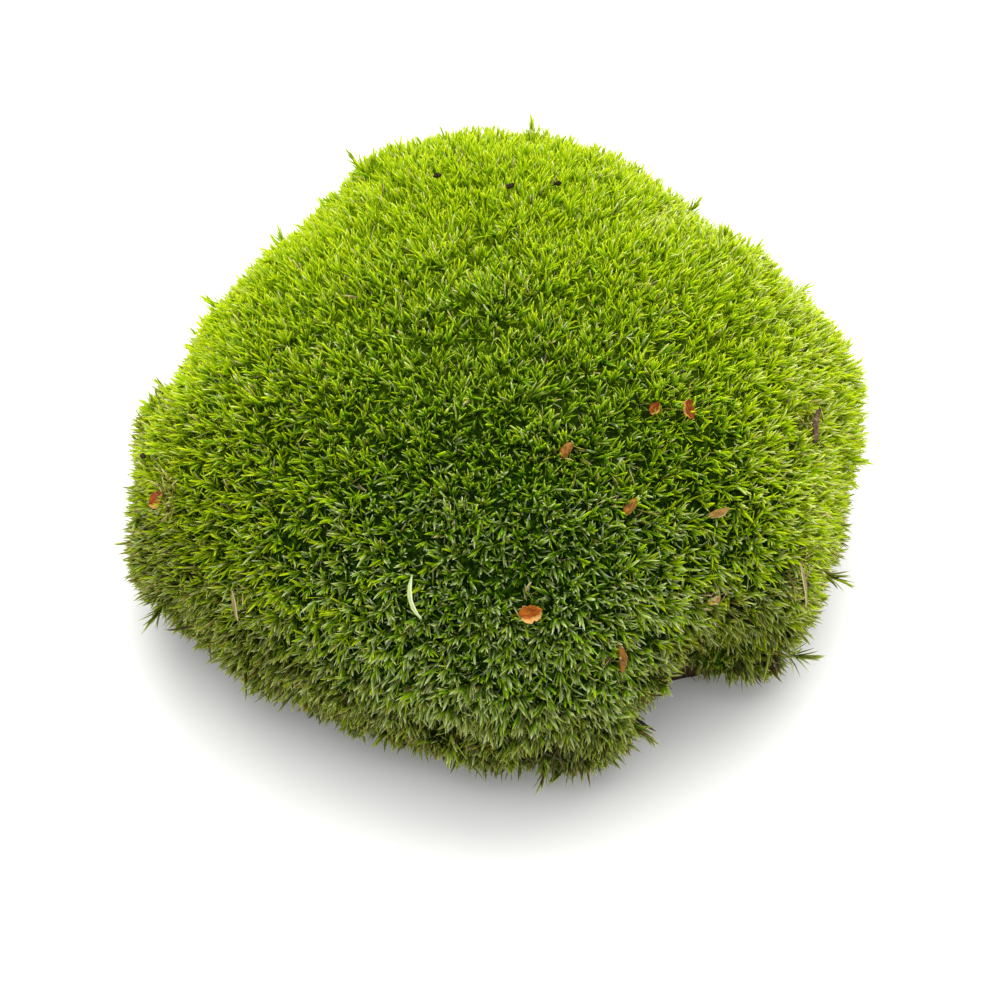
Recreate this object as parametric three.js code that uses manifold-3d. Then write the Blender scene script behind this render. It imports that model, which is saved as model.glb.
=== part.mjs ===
// Pillow moss: one domed cushion of tightly packed living shoots over a brown mat of their own
// dead stems, with single shoots standing proud of the rest and plant litter caught in the tips.
// Millimetres, +Z up. The origin is on the ground, under the middle of the model's box; -Y is the front.
import * as THREE from "three";
import { mergeVertices } from "three/addons/utils/BufferGeometryUtils.js";
import Module from "manifold-3d";

const wasm = await Module();
wasm.setup();

// ---- driving dimensions ----

const gap = 0.3; // clearance between pieces that touch

const cushion = {
  rimRadius: 60, // the outline's shares below are shares of this
  crownHeight: 57, // top of the cushion above the ground
  equatorHeight: 17, // where the cushion is widest
  bellyDepth: 34, // how steeply it tucks in below the equator
  fullness: 2.2, // 2 is an ellipsoid, more is boxier
  hemHeight: 1.2, // the green hem hangs this far above the ground
  facets: 13, // subdivisions of each of the 20 starting faces
  color: 0x5f8f16,
};

// Plan outline: bearing in degrees (0 is +X, 90 is the back) and the share of rimRadius there.
const outline = [
  [-180, 0.97],
  [-160, 1.02],
  [-140, 0.96],
  [-120, 0.905],
  [-100, 0.905],
  [-82, 0.93],
  [-65, 0.91],
  [-52, 0.87],
  [-38, 0.96],
  [-20, 0.94],
  [0, 0.95],
  [22, 0.96],
  [45, 0.89],
  [70, 0.96],
  [92, 0.99],
  [115, 0.98],
  [140, 0.87],
  [162, 0.89],
];

// Lobes stand out and hollows sink in, by height millimetres over about spread degrees.
const swellings = [
  { bearing: -55, rise: -8, spread: 8, height: -17 }, // notch between the two front lobes
  { bearing: -44, rise: -10, spread: 6, height: 8.5 }, // small right-hand lobe
  { bearing: -75, rise: -12, spread: 10, height: 2.5 }, // front lobe
  { bearing: -172, rise: 2, spread: 6, height: -4 }, // cleft in the left side
  { bearing: -179, rise: 9, spread: 5, height: 4.5 }, // shoulder over the cleft
  { bearing: 177, rise: 17, spread: 9, height: -4 }, // hollow above that shoulder
  { bearing: -158, rise: -3, spread: 7, height: 2.5 }, // lobe under the cleft
  { bearing: 8, rise: 10, spread: 8, height: 3 }, // right shoulder
  { bearing: 20, rise: 15, spread: 8, height: -1.2 }, // hollow behind that shoulder
  { bearing: 38, rise: 24, spread: 10, height: -1.8 }, // hollow in the back right
  { bearing: 137, rise: 24, spread: 9, height: -2.6 }, // hollow in the back left
];

const relief = { height: 0.7, length: 15 }; // gentle hummocks all over the cushion

const mat = {
  overhang: 10, // how far the cushion's outline, notch aside, reaches past the brown mat
  thickness: 13,
  fullness: 2.6,
  facets: 7,
  color: 0x3a2a18,
};

const shoot = {
  length: 11,
  proud: 1.4, // how far the tip stands above the cushion
  stemRadius: 0.7,
  leaves: 8,
  leafLength: 5.2,
  leafWidth: 1.3,
  leafThickness: 0.6,
  leafCurl: 0.9, // how far a leaf's tip bends outwards
  lowestLeaf: 6.8, // how far below the shoot's tip the leaves start
  highestLeaf: 3.4,
  widestLean: 46, // degrees from the shoot's axis, of the lowest leaf
  leastLean: 12, // of the highest
  color: 0x8aa83a,
};

// Where the single shoots stand: bearing and rise in degrees, seen from the middle of the equator.
const shootPlaces = [
  [173, 8],
  [161, 20],
  [-173, -3],
  [-164, -9],
  [-151, -3],
  [-84, -7],
  [-68, -3],
  [-98, -2],
  [-36, -8],
  [-26, 0],
  [-10, 10],
  [24, 16],
  [48, 24],
  [84, 30],
  [122, 32],
  [142, 24],
];

// Plant litter on the tips: its size (length, width, thickness), and the bearing and rise where it lies.
// cup lifts a piece's rim, bend curves it sideways, and turn is its heading on the surface in degrees.
const litter = {
  bud_scale_front: {
    size: [3.2, 2.8, 0.6],
    cup: 0.9,
    bearing: -85,
    rise: 26,
    turn: 20,
    color: 0xb5651d,
  },
  bud_scale_right: {
    size: [2.9, 2.1, 0.5],
    cup: 0.7,
    bearing: -37,
    rise: 46,
    turn: 60,
    color: 0xa8481c,
  },
  bud_scale_right_small: {
    size: [2.0, 1.6, 0.5],
    cup: 0.4,
    bearing: -44,
    rise: 50,
    turn: 10,
    color: 0x8a3d22,
  },
  bud_scale_left: {
    size: [3.4, 2.5, 0.6],
    cup: 0.8,
    bearing: -155,
    rise: 18,
    turn: 75,
    color: 0x9a4a22,
  },
  husk_top: {
    size: [2.8, 1.7, 0.5],
    cup: 0.5,
    bearing: -72,
    rise: 50,
    turn: 35,
    color: 0xb07a34,
  },
  husk_middle: {
    size: [3.0, 1.8, 0.5],
    cup: 0.5,
    bearing: -62,
    rise: 38,
    turn: 35,
    color: 0xa86a2a,
  },
  husk_right: {
    size: [3.4, 1.9, 0.5],
    cup: 0.5,
    bearing: -46,
    rise: 30,
    turn: 5,
    color: 0xb88a42,
  },
  husk_front: {
    size: [4.8, 1.7, 0.5],
    cup: 0.6,
    bearing: -71,
    rise: 15,
    turn: 80,
    color: 0x8a5a28,
  },
  husk_low_right: {
    size: [3.2, 1.7, 0.5],
    cup: 0.5,
    bearing: -52,
    rise: 16,
    turn: -30,
    color: 0xae8a4e,
  },
  curled_leaf: {
    size: [6.2, 1.1, 0.5],
    cup: 0.2,
    bend: 1.6,
    bearing: -106,
    rise: 26,
    turn: -65,
    color: 0xc9d79a,
  },
  straw_left: {
    size: [5.2, 1.1, 0.6],
    cup: 0.1,
    bend: 0.3,
    bearing: -135,
    rise: 13,
    turn: -70,
    color: 0x9a8450,
  },
  straw_right: {
    size: [7.0, 0.8, 0.6],
    cup: 0.1,
    bend: 0.5,
    bearing: -38,
    rise: 12,
    turn: 70,
    color: 0xb6a878,
  },
  twig_right: {
    size: [5.6, 1.3, 1.0],
    cup: 0.1,
    bend: 0.4,
    bearing: -15,
    rise: 24,
    turn: 25,
    color: 0x7a5c48,
  },
  crumb_left: {
    size: [1.7, 1.3, 0.9],
    cup: 0,
    bearing: -164,
    rise: 18,
    turn: 40,
    color: 0x1e1812,
  },
  crumb_back_left: {
    size: [1.5, 1.2, 0.9],
    cup: 0,
    bearing: 112,
    rise: 54,
    turn: 0,
    color: 0x2a2018,
  },
  crumb_back: {
    size: [1.7, 1.3, 0.9],
    cup: 0,
    bearing: 87,
    rise: 60,
    turn: 30,
    color: 0x2a2018,
  },
  crumb_back_right: {
    size: [1.5, 1.1, 0.8],
    cup: 0,
    bearing: 70,
    rise: 56,
    turn: 60,
    color: 0x2a2018,
  },
};

// ---- the cushion's surface as a formula ----

const radians = THREE.MathUtils.degToRad;

// Unit vector at a bearing and a rise above the horizontal, both in degrees.
function direction(bearing, rise) {
  const b = radians(bearing);
  const r = radians(rise);
  return new THREE.Vector3(Math.cos(b) * Math.cos(r), Math.sin(b) * Math.cos(r), Math.sin(r));
}

// Share of rimRadius at a bearing in degrees: a smooth closed curve through the outline's points.
const outlineCurve = new THREE.CatmullRomCurve3(
  outline.map(([bearing, share]) => direction(bearing, 0).multiplyScalar(share)),
  true,
);
const outlineSamples = outlineCurve.getPoints(720).map((p) => ({
  bearing: Math.atan2(p.y, p.x),
  share: Math.hypot(p.x, p.y),
}));
outlineSamples.sort((a, b) => a.bearing - b.bearing);

function outlineShare(bearing) {
  const after = outlineSamples.findIndex((s) => s.bearing >= bearing);
  if (after <= 0) return outlineSamples[0].share;
  const low = outlineSamples[after - 1];
  const high = outlineSamples[after];
  const t = (bearing - low.bearing) / Math.max(high.bearing - low.bearing, 1e-9);
  return THREE.MathUtils.lerp(low.share, high.share, t);
}

// Distance from the centre of a superellipse with these half axes, at the angle of (across, up).
function superellipse(across, up, halfWidth, halfHeight, power) {
  const w = Math.abs(across) / halfWidth;
  const h = Math.abs(up) / halfHeight;
  return (w ** power + h ** power) ** (-1 / power);
}

// Height of the hummocks at a point: three crossed waves with no common direction.
function hummocks(p) {
  const k = (2 * Math.PI) / relief.length;
  const waves =
    Math.sin(k * (p.x + 0.4 * p.z)) +
    Math.sin(k * (0.9 * p.y - 0.5 * p.x) + 1.7) +
    Math.sin(k * (0.8 * p.z + 0.6 * p.y) + 0.6);
  return (relief.height * waves) / 2;
}

const heart = new THREE.Vector3(0, 0, cushion.equatorHeight); // the point that bearings and rises are seen from

// The point of the cushion's surface in the direction d, a unit vector from the heart.
function cushionPoint(d) {
  const across = Math.hypot(d.x, d.y);
  const rim = cushion.rimRadius * outlineShare(Math.atan2(d.y, d.x));
  const half = d.z >= 0 ? cushion.crownHeight - cushion.equatorHeight : cushion.bellyDepth;
  let reach = superellipse(across, d.z, rim, half, cushion.fullness);
  for (const s of swellings) {
    const angle = THREE.MathUtils.radToDeg(d.angleTo(direction(s.bearing, s.rise)));
    reach += s.height * Math.exp(-((angle / s.spread) ** 2));
  }
  const p = d.clone().multiplyScalar(reach);
  return p.addScaledVector(d, hummocks(p)).add(heart);
}

// A frame on the surface: origin on it, z out of it, x along the given heading.
function surfaceFrame(bearing, rise, turn = 0) {
  const step = 1.5;
  const p = cushionPoint(direction(bearing, rise));
  const east = cushionPoint(direction(bearing + step, rise)).sub(cushionPoint(direction(bearing - step, rise)));
  const north = cushionPoint(direction(bearing, rise + step)).sub(cushionPoint(direction(bearing, rise - step)));
  const out = new THREE.Vector3().crossVectors(east, north).normalize();
  const x = east.normalize().applyAxisAngle(out, radians(turn));
  const y = new THREE.Vector3().crossVectors(out, x).normalize();
  x.crossVectors(y, out);
  return new THREE.Matrix4().makeBasis(x, y, out).setPosition(p);
}

// ---- solids ----

function toSolid(geometry) {
  const bare = geometry.clone();
  bare.deleteAttribute("normal");
  bare.deleteAttribute("uv");
  const merged = mergeVertices(bare, 1e-4);
  return new wasm.Manifold(
    new wasm.Mesh({
      numProp: 3,
      vertProperties: merged.attributes.position.array,
      triVerts: new Uint32Array(merged.index.array),
    }),
  );
}

function toGeometry(solid) {
  const mesh = solid.getMesh();
  const geometry = new THREE.BufferGeometry();
  geometry.setAttribute("position", new THREE.BufferAttribute(new Float32Array(mesh.vertProperties), 3));
  geometry.setIndex(new THREE.BufferAttribute(new Uint32Array(mesh.triVerts), 1));
  geometry.computeVertexNormals();
  return geometry;
}

// Moves every vertex of a geometry to where place(vertex) puts it.
function reshaped(geometry, place) {
  const position = geometry.getAttribute("position");
  const v = new THREE.Vector3();
  for (let i = 0; i < position.count; i++) {
    const p = place(v.fromBufferAttribute(position, i).clone());
    position.setXYZ(i, p.x, p.y, p.z);
  }
  return geometry;
}

// A box that fills everything below a height.
function everythingBelow(height) {
  const side = 6 * cushion.rimRadius;
  return toSolid(new THREE.BoxGeometry(side, side, side).translate(0, 0, height - side / 2));
}

// The mat of dead stems: a low dome, flat underneath, grown by a margin where the cushion is cut to clear it.
function matSolid(margin = 0) {
  const dome = reshaped(new THREE.IcosahedronGeometry(1, mat.facets), (d) => {
    d.normalize();
    const rim = cushion.rimRadius * outlineShare(Math.atan2(d.y, d.x)) - mat.overhang + margin;
    const top = mat.thickness + margin;
    return d.multiplyScalar(superellipse(Math.hypot(d.x, d.y), d.z, rim, top, mat.fullness));
  });
  return toSolid(dome).subtract(everythingBelow(-margin));
}

// A leaf: a four-sided blade along +Z from the origin, widest near its base, curling out along +X.
function leafGeometry() {
  const cone = new THREE.ConeGeometry(1, 1, 4, 2).rotateX(Math.PI / 2).translate(0, 0, 0.5);
  return reshaped(cone, (p) => {
    const along = p.z;
    const taper = along < 1 ? (1 - along) ** -0.25 : 0; // rounds the cone's straight sides outwards
    return new THREE.Vector3(
      (p.x * taper * shoot.leafThickness) / 2 + shoot.leafCurl * along ** 2,
      (p.y * taper * shoot.leafWidth) / 2,
      along * shoot.leafLength,
    );
  });
}

// A leafy shoot with its tip at the origin and its stem down -Z: leaves in a spiral on a tapering stem.
function shootSolid() {
  const goldenAngle = Math.PI * (3 - Math.sqrt(5));
  const stem = new THREE.ConeGeometry(shoot.stemRadius, shoot.length, 6)
    .rotateX(Math.PI / 2)
    .translate(0, 0, -shoot.length / 2);
  let solid = toSolid(stem);
  for (let i = 0; i < shoot.leaves; i++) {
    const t = i / (shoot.leaves - 1);
    const below = THREE.MathUtils.lerp(shoot.lowestLeaf, shoot.highestLeaf, t);
    const lean = THREE.MathUtils.lerp(shoot.widestLean, shoot.leastLean, t);
    const leaf = leafGeometry()
      .rotateY(radians(lean))
      .rotateZ(i * goldenAngle)
      .translate(0, 0, -below);
    solid = solid.add(toSolid(leaf));
  }
  return solid;
}

// The socket that clears a shoot: a bore for the stem that flares with the lowest leaves.
function socketSolid() {
  const lean = radians(shoot.widestLean);
  const bore = shoot.stemRadius + gap;
  const reach = shoot.leafLength * Math.sin(lean) + shoot.leafCurl * Math.cos(lean);
  const climb = shoot.leafLength * Math.cos(lean) - shoot.leafCurl * Math.sin(lean);
  const room = shoot.leafWidth / 2 + gap;
  const profile = [
    [0, -shoot.length - gap],
    [bore, -shoot.length - gap],
    [bore, -shoot.lowestLeaf - room],
    [reach + room, climb - shoot.lowestLeaf - room],
    [reach + room, shoot.leafLength],
    [0, shoot.leafLength],
  ].map(([r, z]) => new THREE.Vector2(r, z));
  return toSolid(new THREE.LatheGeometry(profile, 10).rotateX(Math.PI / 2));
}

// A piece of litter: a thin oval lens that cups upwards at its rim and bends sideways.
function litterGeometry({ size: [length, width, thickness], cup, bend = 0 }) {
  const lens = new THREE.SphereGeometry(1, 10, 5).rotateX(Math.PI / 2);
  return reshaped(lens, (p) => {
    const rim = p.x * p.x + p.y * p.y;
    return new THREE.Vector3(
      (p.x * length) / 2,
      (p.y * width) / 2 + bend * p.x * p.x,
      (p.z * thickness) / 2 + cup * rim,
    );
  });
}

// ---- the model ----

const moss = new THREE.Group();

function addNode(name, geometry, color, matrix) {
  const material = new THREE.MeshStandardMaterial({ color, roughness: 0.75, metalness: 0 });
  const mesh = new THREE.Mesh(geometry, material);
  mesh.name = name;
  if (matrix) matrix.decompose(mesh.position, mesh.quaternion, mesh.scale);
  moss.add(mesh);
}

const standing = shootPlaces.map(([bearing, rise], i) => ({
  name: `standing_shoot_${String(i + 1).padStart(2, "0")}`,
  // Each shoot is turned a little further than the last, so that no two show the same side.
  matrix: surfaceFrame(bearing, rise, i * 23).multiply(new THREE.Matrix4().makeTranslation(0, 0, shoot.proud)),
}));

let cushionSolid = toSolid(
  reshaped(new THREE.IcosahedronGeometry(1, cushion.facets), (d) => cushionPoint(d.normalize())),
)
  .subtract(everythingBelow(cushion.hemHeight))
  .subtract(matSolid(gap));
let stemMat = matSolid();
const socket = socketSolid();
for (const { matrix } of standing) {
  const room = socket.transform(matrix.elements);
  cushionSolid = cushionSolid.subtract(room);
  stemMat = stemMat.subtract(room);
}
addNode("moss_cushion", toGeometry(cushionSolid), cushion.color);
addNode("dead_stem_mat", toGeometry(stemMat), mat.color);

const shootGeometry = toGeometry(shootSolid());
for (const { name, matrix } of standing) {
  addNode(name, shootGeometry, shoot.color, matrix);
}

for (const [name, piece] of Object.entries(litter)) {
  // Lifted so that its lowest point clears the cushion where the hummocks rise under it.
  const lift = gap + piece.size[2] / 2 + 0.25;
  const matrix = surfaceFrame(piece.bearing, piece.rise, piece.turn).multiply(
    new THREE.Matrix4().makeTranslation(0, 0, lift),
  );
  addNode(name, litterGeometry(piece), piece.color, matrix);
}

// The box's middle goes over the origin, and its lowest point on the ground.
const box = new THREE.Box3().setFromObject(moss, true);
const middle = box.getCenter(new THREE.Vector3());
moss.position.set(-middle.x, -middle.y, -box.min.z);

export default moss;
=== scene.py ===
"""A clump of pillow moss: thousands of leafy shoots over a brown mat of dead stems, with litter on it."""

import math

import bpy
import numpy as np
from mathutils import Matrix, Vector
from mathutils.bvhtree import BVHTree


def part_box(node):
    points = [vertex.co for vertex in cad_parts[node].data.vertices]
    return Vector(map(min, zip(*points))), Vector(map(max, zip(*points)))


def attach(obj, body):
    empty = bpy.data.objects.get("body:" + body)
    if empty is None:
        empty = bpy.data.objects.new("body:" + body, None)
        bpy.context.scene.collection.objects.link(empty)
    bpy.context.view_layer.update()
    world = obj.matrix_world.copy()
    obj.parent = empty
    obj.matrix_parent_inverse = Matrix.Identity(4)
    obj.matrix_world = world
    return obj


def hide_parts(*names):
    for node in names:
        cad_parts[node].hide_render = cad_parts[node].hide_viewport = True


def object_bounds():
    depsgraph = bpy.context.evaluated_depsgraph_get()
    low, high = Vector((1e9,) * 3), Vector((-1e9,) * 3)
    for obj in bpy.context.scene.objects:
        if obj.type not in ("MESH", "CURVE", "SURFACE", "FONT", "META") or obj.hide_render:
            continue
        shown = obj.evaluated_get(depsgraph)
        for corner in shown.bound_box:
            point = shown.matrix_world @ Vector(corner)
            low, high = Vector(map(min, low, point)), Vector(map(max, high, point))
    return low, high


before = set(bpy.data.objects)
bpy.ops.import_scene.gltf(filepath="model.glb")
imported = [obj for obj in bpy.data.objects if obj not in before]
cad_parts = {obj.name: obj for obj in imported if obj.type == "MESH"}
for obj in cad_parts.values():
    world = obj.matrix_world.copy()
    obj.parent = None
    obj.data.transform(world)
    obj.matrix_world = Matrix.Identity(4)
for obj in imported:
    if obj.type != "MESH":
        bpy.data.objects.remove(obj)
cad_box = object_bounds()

MM = 0.001
rng = np.random.default_rng(11)

# ---- places and sizes that everything else is worked out from, in metres ----

box_low = np.array(cad_box[0])
box_high = np.array(cad_box[1])
clump_size = box_high - box_low
heart = np.array([0.0, 0.0, 0.3 * clump_size[2]])  # bearings and rises are seen from here
hem_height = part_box("moss_cushion")[0].z
ground_gap = 0.25 * MM  # nothing green reaches closer to the ground than this
DENT = (34 * MM, -45 * MM)  # middle of the dent between the two front lobes, in plan

# ---- small helpers ----


def unit(v):
    """Rows of v scaled to length 1."""
    return v / np.maximum(np.linalg.norm(v, axis=-1, keepdims=True), 1e-12)


def ramp(x, low, high):
    """0 below low, 1 above high, and a smooth rise between them."""
    t = np.clip((x - low) / (high - low), 0, 1)
    return t * t * (3 - 2 * t)


def drift(p, length, phase):
    """A smooth field from -1 to 1 over the points p, whose patches are about length across."""
    k = 2 * math.pi / length
    x, y, z = p[..., 0], p[..., 1], p[..., 2]
    a = np.sin(k * (x + 0.31 * y - 0.22 * z) + 1.3 * phase)
    b = np.sin(k * (0.83 * y - 0.47 * x + 0.35 * z) + 2.1 * phase + 1.0)
    c = np.sin(k * (0.71 * z + 0.52 * y + 0.44 * x) + 0.7 * phase + 2.0)
    d = np.sin(1.9 * k * (0.62 * x - 0.58 * y + 0.4 * z) + 3.3 * phase)
    return (a + b + c + 0.6 * d) / 3.6


def sides(axis):
    """Two directions at right angles to each row of axis and to each other."""
    helper = np.where(np.abs(axis[:, 2:3]) < 0.9, [[0.0, 0.0, 1.0]], [[1.0, 0.0, 0.0]])
    u = unit(np.cross(helper, axis))
    return u, np.cross(axis, u)


def build_mesh(name, points, faces, uv, layer="OFBake"):
    """A mesh object from arrays: points (n, 3), faces (m, 3 or 4), and a UV for each point."""
    mesh = bpy.data.meshes.new(name)
    corners = faces.shape[1]
    mesh.vertices.add(len(points))
    mesh.vertices.foreach_set("co", np.ascontiguousarray(points, np.float32).ravel())
    mesh.loops.add(faces.size)
    mesh.loops.foreach_set("vertex_index", np.ascontiguousarray(faces, np.int32).ravel())
    mesh.polygons.add(len(faces))
    mesh.polygons.foreach_set("loop_start", np.arange(0, faces.size, corners, dtype=np.int32))
    mesh.polygons.foreach_set("use_smooth", np.full(len(faces), True))
    made = mesh.uv_layers.new(name=layer)
    made.uv.foreach_set("vector", np.ascontiguousarray(uv[faces.ravel()], np.float32).ravel())
    mesh.update(calc_edges=True)
    mesh.validate()
    piece = bpy.data.objects.new(name, mesh)
    bpy.context.scene.collection.objects.link(piece)
    return piece


def finish_piece(piece, material, slot, *nodes):
    """Gives a piece its material and body, and hides the CAD nodes it stands for. slot is not used."""
    piece.data.materials.clear()
    piece.data.materials.append(material)
    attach(piece, "root")
    if nodes:
        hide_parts(*nodes)
    return piece


# ---- the cushion's outer surface, read from the CAD solid ----


class Surface:
    """How far the cushion reaches in each direction from its heart, with the sockets smoothed over."""

    blur = math.radians(2.4)
    samples = 7000
    socket_radius = 6.5 * MM
    lowest = math.radians(-32)  # the grid of reaches starts at this rise
    cells = (144, 56)  # round the clump, and from the lowest rise up to the crown

    def __init__(self, solid, socketed):
        tree = BVHTree.FromObject(solid, bpy.context.evaluated_depsgraph_get())
        tips = np.array([(np.array(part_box(n)[0]) + np.array(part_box(n)[1])) / 2 for n in socketed])
        centre = Vector(heart)
        directions = []
        reaches = []
        for d in self.spread(self.samples):
            hit = tree.ray_cast(centre + Vector(d) * 0.3, Vector(-d))[0]
            if hit is None or hit.z < hem_height + 0.6 * MM:
                continue
            if np.linalg.norm(tips - np.array(hit), axis=1).min() < self.socket_radius:
                continue
            directions.append(d)
            reaches.append((hit - centre).length)
        self.grid = self.averaged(np.array(directions), np.array(reaches))

    @staticmethod
    def spread(count):
        """Directions spread evenly over the sphere by the golden angle, but none that point far down."""
        i = np.arange(count) + 0.5
        z = 1 - 2 * i / count
        turn = math.pi * (3 - math.sqrt(5)) * i
        flat = np.sqrt(1 - z * z)
        d = np.stack([flat * np.cos(turn), flat * np.sin(turn), z], 1)
        return d[z > -0.5]

    def averaged(self, directions, reaches):
        """The reach at each bearing and rise of the grid: an average of the samples near it."""
        bearing, rise = np.meshgrid(
            np.linspace(-math.pi, math.pi, self.cells[0] + 1),
            np.linspace(self.lowest, math.pi / 2, self.cells[1] + 1),
            indexing="ij",
        )
        d = np.stack([np.cos(bearing) * np.cos(rise), np.sin(bearing) * np.cos(rise), np.sin(rise)], -1)
        weight = np.exp((d.reshape(-1, 3) @ directions.T - 1) / self.blur**2)
        return ((weight @ reaches) / weight.sum(1)).reshape(bearing.shape)

    def reach(self, d):
        """Reach in each of the directions d, between the four nearest places of the grid."""
        bearing = np.arctan2(d[:, 1], d[:, 0])
        rise = np.arcsin(np.clip(d[:, 2], -1, 1))
        x = (bearing + math.pi) / (2 * math.pi) * self.cells[0]
        y = np.clip((rise - self.lowest) / (math.pi / 2 - self.lowest), 0, 1) * self.cells[1]
        i = np.minimum(x.astype(int), self.cells[0] - 1)
        j = np.minimum(y.astype(int), self.cells[1] - 1)
        u = x - i
        v = y - j
        low = self.grid[i, j] * (1 - u) + self.grid[i + 1, j] * u
        high = self.grid[i, j + 1] * (1 - u) + self.grid[i + 1, j + 1] * u
        return low * (1 - v) + high * v

    def points(self, d):
        return heart + d * self.reach(d)[:, None]

    def normals(self, d):
        """Outward normals at the points in the directions d."""
        u, v = sides(d)
        step = 0.05
        along_u = self.points(unit(d + step * u)) - self.points(unit(d - step * u))
        along_v = self.points(unit(d + step * v)) - self.points(unit(d - step * v))
        return unit(np.cross(along_u, along_v))


standing_nodes = sorted(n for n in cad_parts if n.startswith("standing_shoot"))
surface = Surface(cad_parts["moss_cushion"], standing_nodes)

# ---- leaves and shoots ----

LEAF_ROWS = np.array([0.2, 0.55, 0.82])  # where along a leaf its cross-sections are
LEAF_WIDTHS = np.array([0.95, 0.8, 0.5])  # their widths, as shares of the leaf's width
SECTION = np.array([[-0.5, 0.16], [0.0, 0.02], [0.5, 0.16], [0.0, -0.14]])  # (across, towards the stem)
FAMILIES = 9  # leaf colour families, see LEAF_COLORS
LEVELS = 6  # brightness levels in a family: lit and shaded copies of its colours, for painted light and shade and for tone that differs at random
LEAVES_PER_SHOOT = 10
SPACING = 1.12 * MM  # between shoots
GOLDEN = math.pi * (3 - math.sqrt(5))


def leaf_faces():
    """Triangles of one leaf: a point, three sections of four points, and a point."""
    faces = []
    last = 1 + 4 * len(LEAF_ROWS)
    for j in range(4):
        k = (j + 1) % 4
        faces.append((0, 1 + k, 1 + j))
        for row in range(len(LEAF_ROWS) - 1):
            a = 1 + 4 * row
            faces.append((a + j, a + k, a + 4 + k))
            faces.append((a + j, a + 4 + k, a + 4 + j))
        a = 1 + 4 * (len(LEAF_ROWS) - 1)
        faces.append((a + j, a + k, last))
    return np.array(faces)


LEAF_FACES = leaf_faces()
LEAF_POINTS = 2 + 4 * len(LEAF_ROWS)


def leaves(base, axis, outward, lean, curl, sweep, length, width, family, level):
    """Points, faces and UVs of many leaves. Each sets out at the angle lean from its axis towards outward,
    and then curls."""
    across = np.cross(axis, outward)
    count = len(base)
    stops = np.concatenate([[0.0], LEAF_ROWS, [1.0]])
    centre = base.copy()
    points = np.empty((count, LEAF_POINTS, 3))
    points[:, 0] = base
    for row in range(1, len(stops)):
        step = (stops[row] - stops[row - 1]) * length
        middle = lean + curl * (stops[row] + stops[row - 1]) / 2
        heading = np.sin(middle)[:, None] * outward + np.cos(middle)[:, None] * axis
        heading = unit(heading + (sweep * stops[row])[:, None] * across)
        centre = centre + step[:, None] * heading
        if row == len(stops) - 1:
            points[:, -1] = centre
            break
        towards = np.cross(across, heading)
        for j, (side, lift) in enumerate(SECTION):
            size = (LEAF_WIDTHS[row - 1] * width)[:, None]
            points[:, 1 + 4 * (row - 1) + j] = centre + size * (side * across - lift * towards)
    bins = family * LEVELS + level
    total = FAMILIES * LEVELS
    uv = np.empty((count, LEAF_POINTS, 2))
    shift = np.concatenate([[0.0], np.tile(SECTION[:, 0], len(LEAF_ROWS)), [0.0]])
    uv[..., 0] = (bins[:, None] + 0.5 + 0.9 * shift[None, :]) / total
    uv[..., 1] = np.concatenate([[0.02], np.repeat(LEAF_ROWS, 4), [0.98]])[None, :]
    faces = LEAF_FACES[None] + LEAF_POINTS * np.arange(count)[:, None, None]
    return points.reshape(-1, 3), faces.reshape(-1, 3), uv.reshape(-1, 2)


def grow(tips, axes, per_shoot, length, spread, families, brightness, mottle_and_shade):
    """Leaves for many shoots. tips and axes are (n, 3) and the other sizes are (n,). brightness is from 0
    to 1 and holds painted light and shade. mottle is how far single leaves wander from it, and how much
    darker the older leaves lower down are, as painted shade. families is (n, FAMILIES): how often each
    colour family comes up on that shoot."""
    count = len(tips)
    u, v = sides(axes)
    start = rng.uniform(0, 2 * math.pi, count)
    index = np.arange(per_shoot)
    age = index / (per_shoot - 1)  # 0 is the youngest leaf, at the tip, and 1 the oldest
    turn = start[:, None] + GOLDEN * index[None, :] + rng.normal(0, 0.25, (count, per_shoot))
    outward = np.cos(turn)[..., None] * u[:, None] + np.sin(turn)[..., None] * v[:, None]
    size = length[:, None] * rng.uniform(0.78, 1.15, (count, per_shoot))
    size *= (0.78 + 0.3 * np.sqrt(age))[None, :]
    below = length[:, None] * (0.74 + 0.85 * age[None, :]) + rng.normal(0, 0.25 * MM, (count, per_shoot))
    base = tips[:, None] - below[..., None] * axes[:, None]
    lean = (0.08 + 0.45 * age + 0.45 * age**4)[None, :] * spread[:, None]
    lean += rng.normal(0, 0.17, (count, per_shoot))
    curl = (0.05 + 0.35 * age[None, :]) * rng.uniform(-0.2, 1.3, (count, per_shoot))
    sweep = rng.normal(0, 0.26, (count, per_shoot))
    width = rng.uniform(0.44, 0.68, (count, per_shoot)) * MM * (length[:, None] / (4.3 * MM)) ** 0.7
    pick = rng.uniform(0, 1, (count, per_shoot, 1))
    chances = np.cumsum(families / families.sum(1, keepdims=True), axis=1)
    family = (pick > chances[:, None, :-1]).sum(-1)
    stray_and_shade = rng.normal(0, 1, (count, per_shoot)) - 1.6 * age[None, :]  # older leaves, lower down among the shoots, are darker: painted shade
    light = brightness[:, None] + mottle_and_shade[:, None] * stray_and_shade
    level = np.clip(np.round(light * (LEVELS - 1)), 0, LEVELS - 1)
    flat = lambda a: np.broadcast_to(a, (count, per_shoot)).reshape(-1)
    axis = np.repeat(axes, per_shoot, axis=0)
    points, faces, uv = leaves(
        base.reshape(-1, 3),
        axis,
        outward.reshape(-1, 3),
        flat(lean),
        flat(curl),
        flat(sweep),
        flat(size),
        flat(width),
        flat(family),
        flat(level),
    )
    points[:, 2] = np.maximum(points[:, 2], ground_gap)
    return points, faces, uv


# ---- materials ----


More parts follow.
